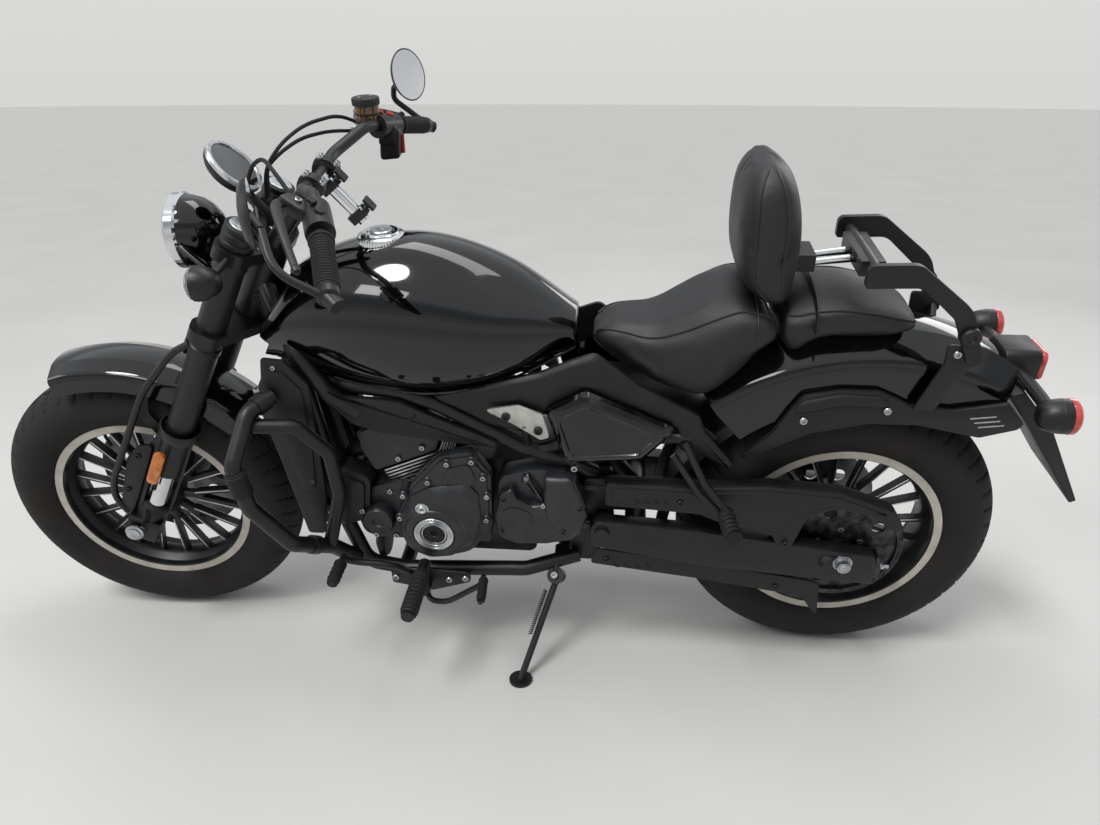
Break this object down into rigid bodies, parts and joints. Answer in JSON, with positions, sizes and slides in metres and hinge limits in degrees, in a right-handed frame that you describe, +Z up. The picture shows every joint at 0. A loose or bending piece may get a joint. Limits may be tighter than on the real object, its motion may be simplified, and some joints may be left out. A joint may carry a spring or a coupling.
{
  "type": "cruiser motorcycle",
  "caption": "Black mid-size cruiser motorcycle leaning on its side stand, with forked-spoke cast wheels, finned engine, engine guards, backrest and steering that turns.",
  "frame": {"origin": "centre of the bounding box's underside, on the floor the tyres and stand rest on", "axes": "+X to the front of the motorcycle, +Y to its left, where the side stand is, +Z up; the motorcycle leans about 11 degrees to the left on its stand"},
  "size_m": [2.2267, 0.8735, 1.2451],
  "materials": {
    "amber_lens": "glossy",
    "black_plastic": "matte",
    "black_rubber": "matte",
    "chain_steel": "oiled",
    "clear_lens": "glossy",
    "engine_black": "satin",
    "gloss_black": "glossy",
    "lamp": "polished",
    "leather": "satin",
    "matte_black": "matte",
    "red_lens": "glossy",
    "silver": "satin",
    "steel": "satin",
    "tyre": "matte"
  },
  "bodies": {
    "frame": {"drive_chain": "chain_steel", "frame_upper": "matte_black", "frame_cradle": "matte_black", "swingarm": "matte_black", "rear_axle": "steel", "engine_cases": "engine_black", "engine_cylinder": "engine_black", "alternator_cover": "engine_black", "sprocket_cover": "engine_black", "clutch_cover": "engine_black", "exhaust": "matte_black", "radiator": "matte_black", "radiator_shroud": "black_plastic", "engine_guards": "matte_black", "fuel_tank": "gloss_black", "fuel_cap": "lamp", "side_covers": "gloss_black", "frame_covers": "black_plastic", "hanger_plates": "silver", "rider_seat": "leather", "pillion_seat": "leather", "backrest_pad": "leather", "backrest_frame": "matte_black", "rear_fender": "gloss_black", "fender_rails": "black_plastic", "tail_light": "red_lens", "rear_indicators": "red_lens", "plate_holder": "black_plastic", "left_foot_controls": "matte_black", "right_foot_controls": "matte_black", "passenger_pegs": "matte_black", "chain_guards": "black_plastic", "rear_caliper": "matte_black", "shock_absorber": "matte_black", "horn": "black_plastic"},
    "steering": {"fork_clamps": "matte_black", "fork_tubes": "matte_black", "fork_guards": "matte_black", "fork_legs": "steel", "reflectors": "amber_lens", "front_caliper": "matte_black", "front_fender": "gloss_black", "handlebar": "matte_black", "grips": "black_rubber", "left_controls": "black_plastic", "right_controls": "black_plastic", "mirrors": "matte_black", "headlight": "gloss_black", "front_indicators": "clear_lens", "instrument": "lamp", "accessory_bar": "lamp"},
    "front_wheel": {"front_rim": "matte_black", "front_tyre": "tyre", "front_disc": "steel"},
    "rear_wheel": {"rear_rim": "matte_black", "rear_tyre": "tyre", "rear_disc": "steel", "rear_sprocket": "chain_steel"},
    "stand": {"side_stand": "matte_black"}
  },
  "joints": [
    {"name": "steering", "type": "hinge", "parent": "frame", "child": "steering", "pos_m": [0.44847, -0.01556, 0.83313], "axis": [-0.4685, 0.1679, 0.8674], "range_deg": [-39.49, 32.51]},
    {"name": "front_wheel_spin", "type": "hinge", "parent": "steering", "child": "front_wheel", "pos_m": [0.7938, -0.11247, 0.31396], "axis": [-0.0539, 0.9745, -0.2178], "continuous": true},
    {"name": "rear_wheel_spin", "type": "hinge", "parent": "frame", "child": "rear_wheel", "pos_m": [-0.6911, -0.11535, 0.31857], "axis": [-0.0001, 0.9818, -0.1901], "continuous": true},
    {"name": "stand_swing", "type": "hinge", "parent": "frame", "child": "stand", "pos_m": [-0.11918, -0.02713, 0.19519], "axis": [0.2347, 0.8114, 0.5353], "range_deg": [0, 104]}
  ]
}
